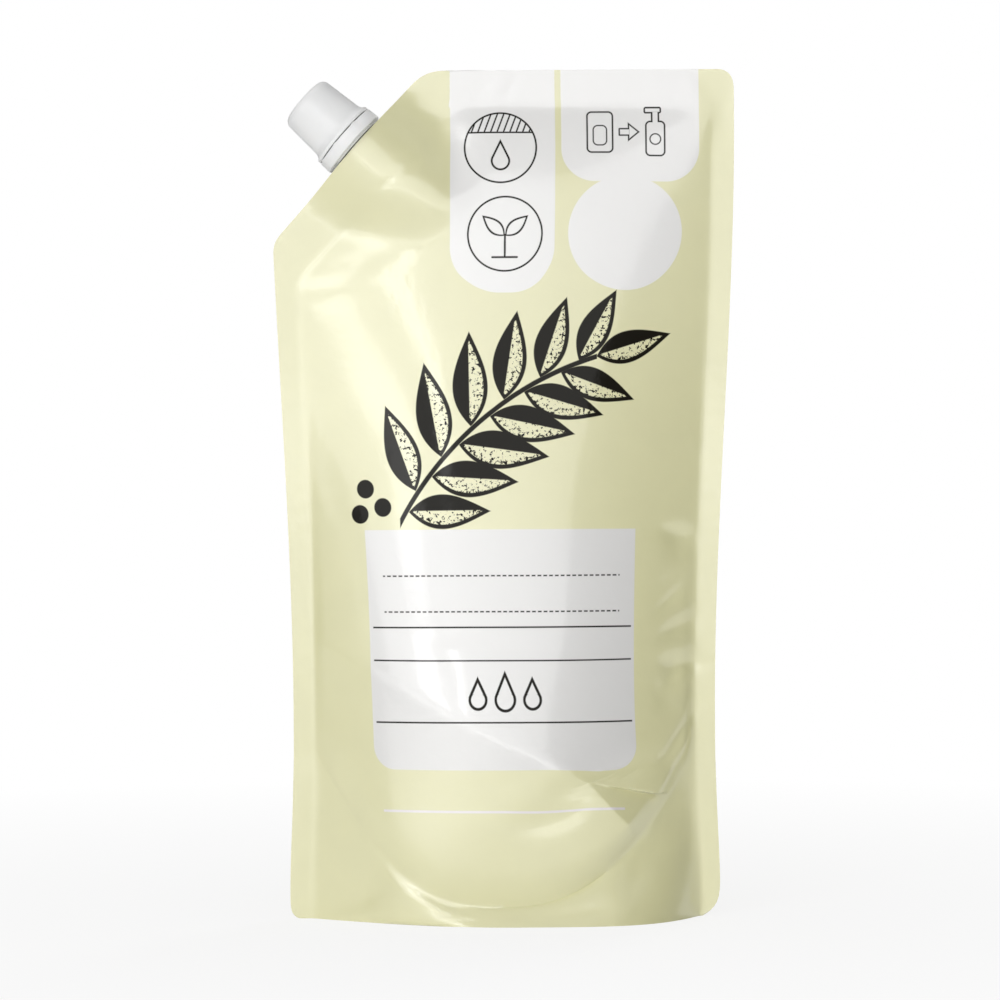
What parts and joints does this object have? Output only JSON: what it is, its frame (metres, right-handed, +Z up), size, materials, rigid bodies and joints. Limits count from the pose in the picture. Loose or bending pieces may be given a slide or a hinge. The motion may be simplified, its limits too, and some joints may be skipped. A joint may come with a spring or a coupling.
{
  "type": "spouted refill pouch",
  "caption": "Filled stand-up film pouch for liquid hand soap, with a folded base, flat side welds and a slanted corner that carries a welded spout, tamper ring and screw cap.",
  "frame": {"origin": "middle of the base on the table, in the plane of the side welds", "axes": "+Z up, -Y out of the printed front, -X towards the slanted corner with the spout"},
  "size_m": [0.14, 0.0504, 0.254],
  "materials": {
    "film": "printed laminate film, satin gloss",
    "spout_plastic": "injection moulded polyethylene",
    "cap_plastic": "injection moulded polypropylene"
  },
  "bodies": {
    "pack": {"pouch": "film", "spout": "spout_plastic", "tamper_ring": "cap_plastic"},
    "closure": {"cap": "cap_plastic"}
  },
  "joints": [
    {"name": "cap_turn", "type": "hinge", "parent": "pack", "child": "closure", "pos_m": [-0.04321, 0, 0.23121], "axis": [-0.7482, 0, 0.6635], "range_deg": [0, 540]}
  ]
}
